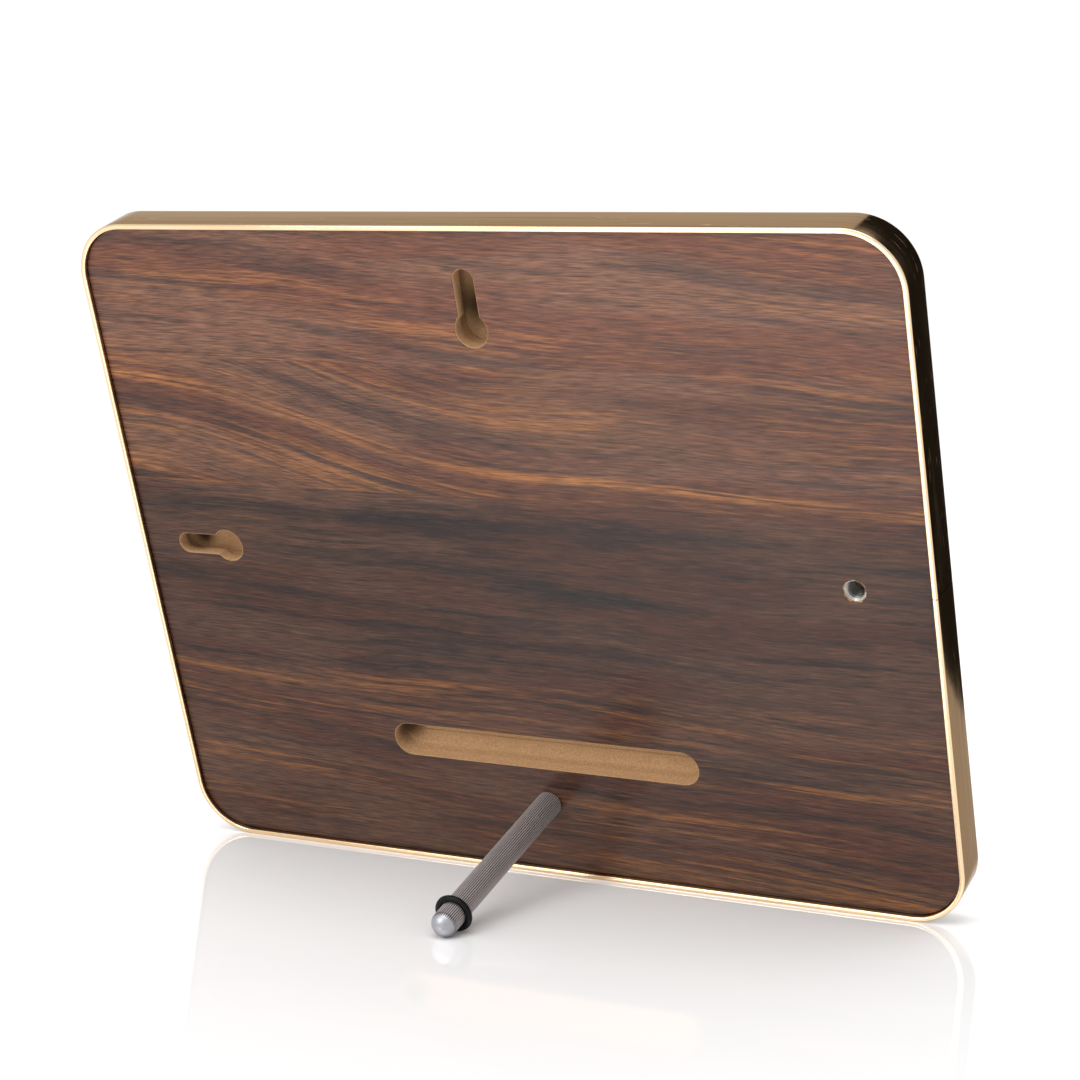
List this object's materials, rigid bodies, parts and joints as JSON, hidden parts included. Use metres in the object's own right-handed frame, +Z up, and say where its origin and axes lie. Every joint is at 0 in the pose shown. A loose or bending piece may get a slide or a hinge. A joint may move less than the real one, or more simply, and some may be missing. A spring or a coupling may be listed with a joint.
{
  "type": "tabletop photo panel frame",
  "caption": "Landscape photo panel with a walnut-look back, gold edge band, keyholes, threaded inserts and a screw-in fluted peg with a rubber foot that props it up.",
  "frame": {"origin": "middle of the footprint on the table, half way from the front-most edge to the tip of the peg", "axes": "+X to the right as seen from the picture side, +Y to the rear where the peg stands, +Z up; the board leans back about the X axis"},
  "size_m": [0.254, 0.0848, 0.1976],
  "materials": {
    "fibreboard": "raw routed",
    "walnut_laminate": "satin",
    "print": "print",
    "clear_sheet": "gloss",
    "gold_band": "polished gold",
    "zinc": "zinc plated",
    "steel": "machined",
    "anodised_peg": "anodised, bare turned tip",
    "rubber": "satin"
  },
  "bodies": {
    "panel": {"core_board": "fibreboard", "back_sheet": "walnut_laminate", "photo_print": "print", "clear_face": "clear_sheet", "edge_band": "gold_band", "peg_insert": "zinc", "side_insert": "zinc"},
    "stud": {"peg_stud": "steel"},
    "peg": {"peg_shaft": "anodised_peg"},
    "foot": {"foot_ring": "rubber"}
  },
  "joints": [
    {"name": "peg_travel", "type": "slide", "parent": "panel", "child": "stud", "axis": [0, 0.9555, -0.295], "range_m": [0, 0.006]},
    {"name": "peg_turn", "type": "hinge", "parent": "stud", "child": "peg", "pos_m": [0, -0.02327, 0.02308], "axis": [0, 0.9555, -0.295], "range_deg": [0, 2160]},
    {"name": "foot_slide", "type": "slide", "parent": "peg", "child": "foot", "axis": [0, 0.9555, -0.295], "range_m": [-0.05, 0.004]}
  ],
  "couplings": [
    {"joint": "peg_turn", "follows": "peg_travel", "rad_per_m": 6283.2}
  ]
}
